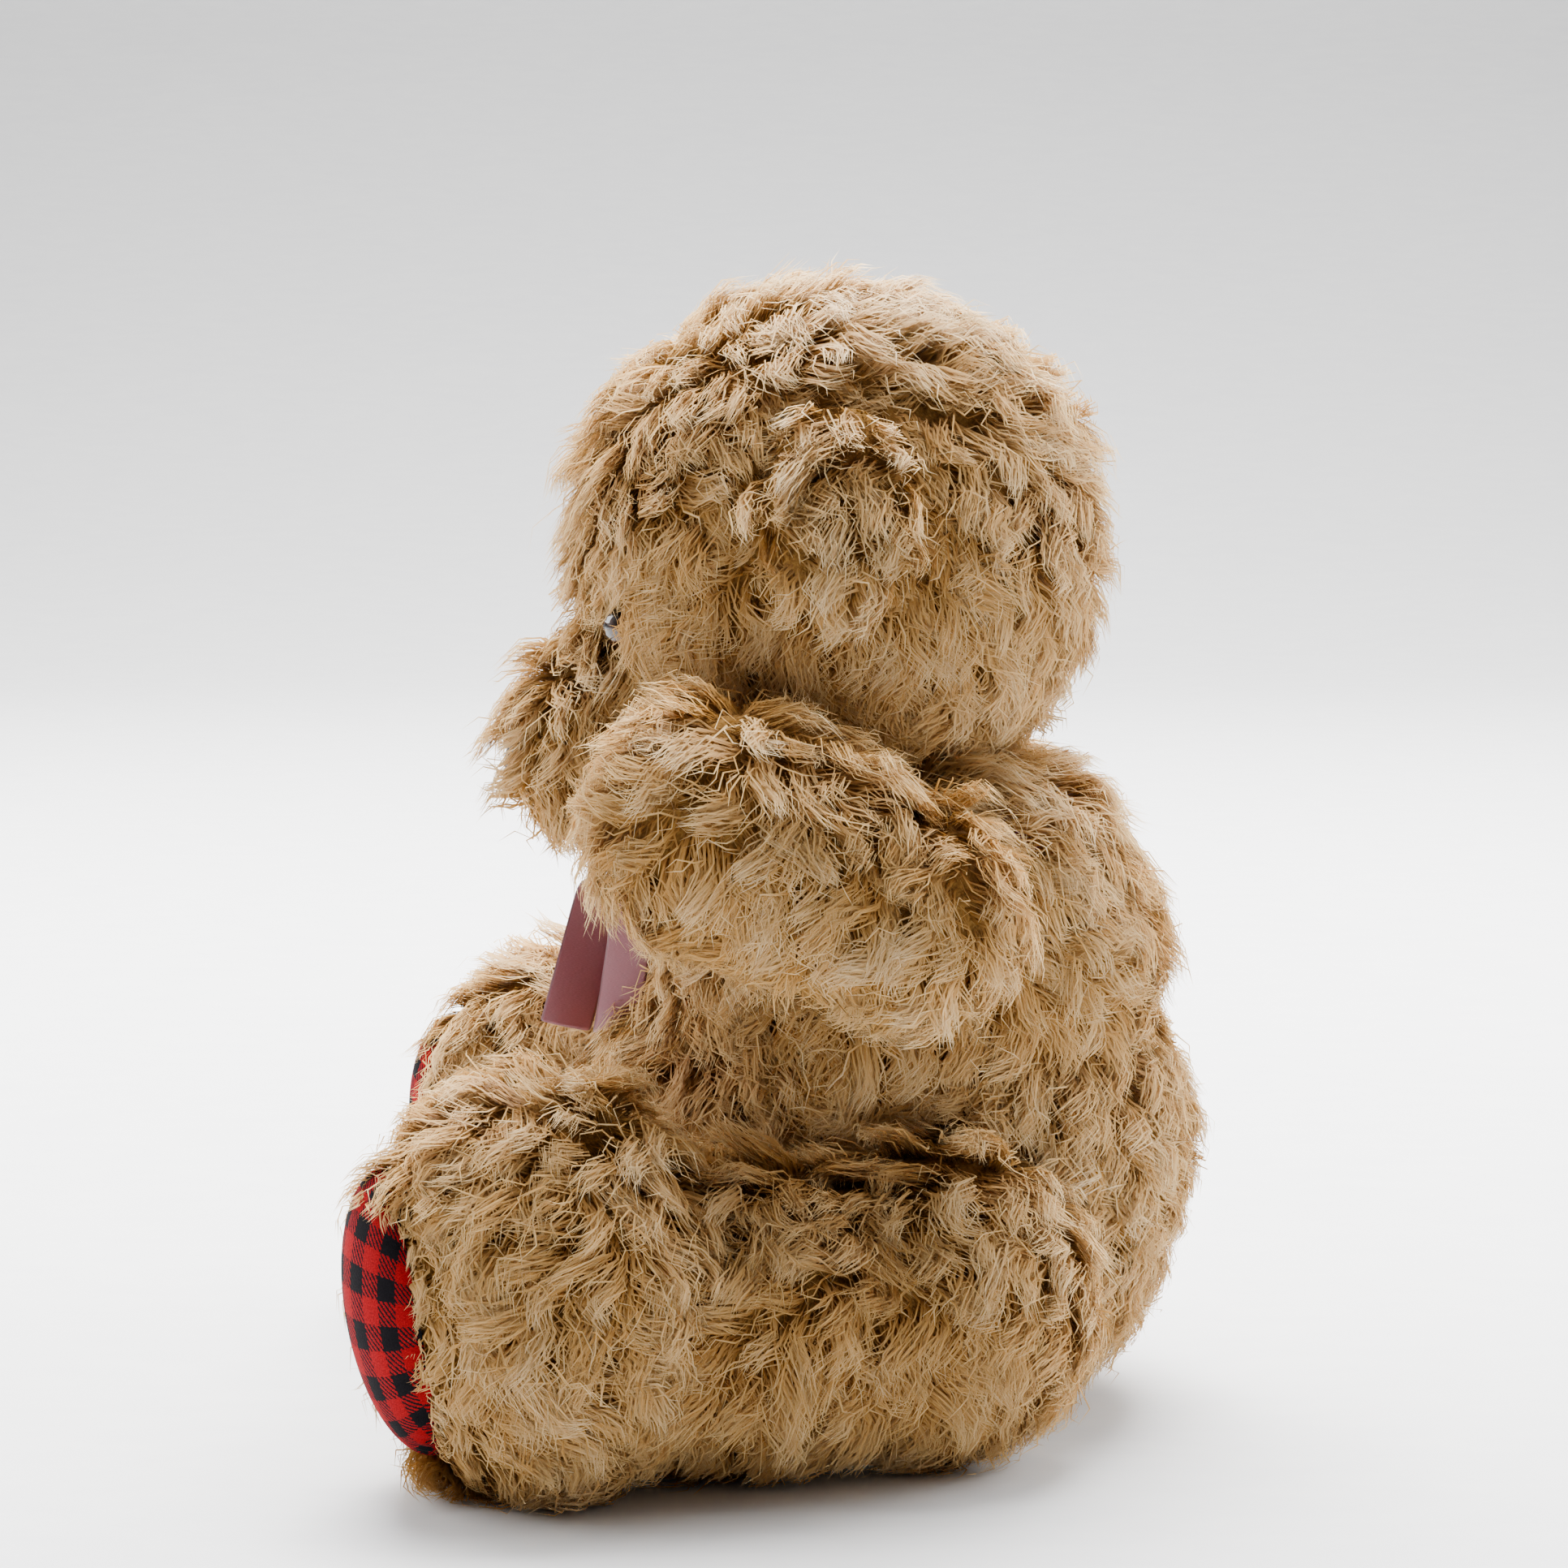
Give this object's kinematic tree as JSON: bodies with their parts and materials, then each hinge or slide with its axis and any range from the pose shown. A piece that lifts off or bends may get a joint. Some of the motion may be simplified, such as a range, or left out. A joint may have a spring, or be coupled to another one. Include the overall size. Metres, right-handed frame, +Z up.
{
  "type": "jointed teddy bear",
  "caption": "Sitting long-pile teddy bear with disc-jointed head, arms and legs, plaid sole and paw pads, flop ears and a satin neck bow.",
  "frame": {"origin": "middle of the torso's flat underside, on the surface that the bear sits on", "axes": "+Z up along the longest extent; the bear faces -Y, the shortest extent; its left side is +X"},
  "size_m": [0.29, 0.2485, 0.342],
  "materials": {
    "long_pile_plush": "long wavy golden-beige pile, 25 to 30 mm",
    "plaid_flannel": "brushed cotton flannel, red and black quarter-inch check",
    "satin_ribbon": "burgundy satin, woven edges",
    "polyester_fill": "loose polyester fibre filling",
    "joint_plastic": "moulded polypropylene",
    "eye_plastic": "polished dark brown",
    "embroidery_thread": "black pearl cotton, satin stitch"
  },
  "bodies": {
    "torso": {"torso_front_left": "long_pile_plush", "torso_front_right": "long_pile_plush", "torso_back_left": "long_pile_plush", "torso_back_right": "long_pile_plush", "torso_stuffing": "polyester_fill", "neck_washer": "joint_plastic", "shoulder_washer_left": "joint_plastic", "shoulder_washer_right": "joint_plastic", "hip_washer_left": "joint_plastic", "hip_washer_right": "joint_plastic", "ribbon_neckband": "satin_ribbon", "ribbon_knot": "satin_ribbon", "ribbon_loop_left": "satin_ribbon", "ribbon_loop_right": "satin_ribbon", "ribbon_tail_left": "satin_ribbon", "ribbon_tail_right": "satin_ribbon"},
    "head": {"head_panel_left": "long_pile_plush", "head_panel_right": "long_pile_plush", "head_gusset": "long_pile_plush", "muzzle_panel_left": "long_pile_plush", "muzzle_panel_right": "long_pile_plush", "head_stuffing": "polyester_fill", "ear_front_left": "long_pile_plush", "ear_back_left": "long_pile_plush", "ear_front_right": "long_pile_plush", "ear_back_right": "long_pile_plush", "eye_left": "eye_plastic", "eye_right": "eye_plastic", "eye_washer_left": "joint_plastic", "eye_washer_right": "joint_plastic", "nose_stitching": "embroidery_thread", "mouth_stitching": "embroidery_thread", "neck_joint_post": "joint_plastic", "neck_lock_washer": "joint_plastic"},
    "arm_left": {"arm_outer_panel_left": "long_pile_plush", "arm_inner_panel_left": "long_pile_plush", "paw_pad_left": "plaid_flannel", "arm_stuffing_left": "polyester_fill", "shoulder_joint_post_left": "joint_plastic", "shoulder_lock_washer_left": "joint_plastic"},
    "leg_left": {"leg_outer_panel_left": "long_pile_plush", "leg_inner_panel_left": "long_pile_plush", "sole_pad_left": "plaid_flannel", "leg_stuffing_left": "polyester_fill", "hip_joint_post_left": "joint_plastic", "hip_lock_washer_left": "joint_plastic"},
    "arm_right": {"arm_outer_panel_right": "long_pile_plush", "arm_inner_panel_right": "long_pile_plush", "paw_pad_right": "plaid_flannel", "arm_stuffing_right": "polyester_fill", "shoulder_joint_post_right": "joint_plastic", "shoulder_lock_washer_right": "joint_plastic"},
    "leg_right": {"leg_outer_panel_right": "long_pile_plush", "leg_inner_panel_right": "long_pile_plush", "sole_pad_right": "plaid_flannel", "leg_stuffing_right": "polyester_fill", "hip_joint_post_right": "joint_plastic", "hip_lock_washer_right": "joint_plastic"}
  },
  "joints": [
    {"name": "neck_turn", "type": "hinge", "parent": "torso", "child": "head", "pos_m": [0, -0.008, 0.2], "axis": [0, 0, 1], "range_deg": [-18, 18]},
    {"name": "shoulder_left", "type": "hinge", "parent": "torso", "child": "arm_left", "pos_m": [0.066, 0.002, 0.168], "axis": [1, 0, 0], "range_deg": [-18, 50]},
    {"name": "shoulder_right", "type": "hinge", "parent": "torso", "child": "arm_right", "pos_m": [-0.066, 0.002, 0.168], "axis": [1, 0, 0], "range_deg": [-18, 50]},
    {"name": "hip_left", "type": "hinge", "parent": "torso", "child": "leg_left", "pos_m": [0.077, 0.01, 0.05], "axis": [0.9816, 0.1908, 0], "range_deg": [0, 90]},
    {"name": "hip_right", "type": "hinge", "parent": "torso", "child": "leg_right", "pos_m": [-0.077, 0.01, 0.05], "axis": [0.9816, -0.1908, 0], "range_deg": [0, 90]}
  ]
}
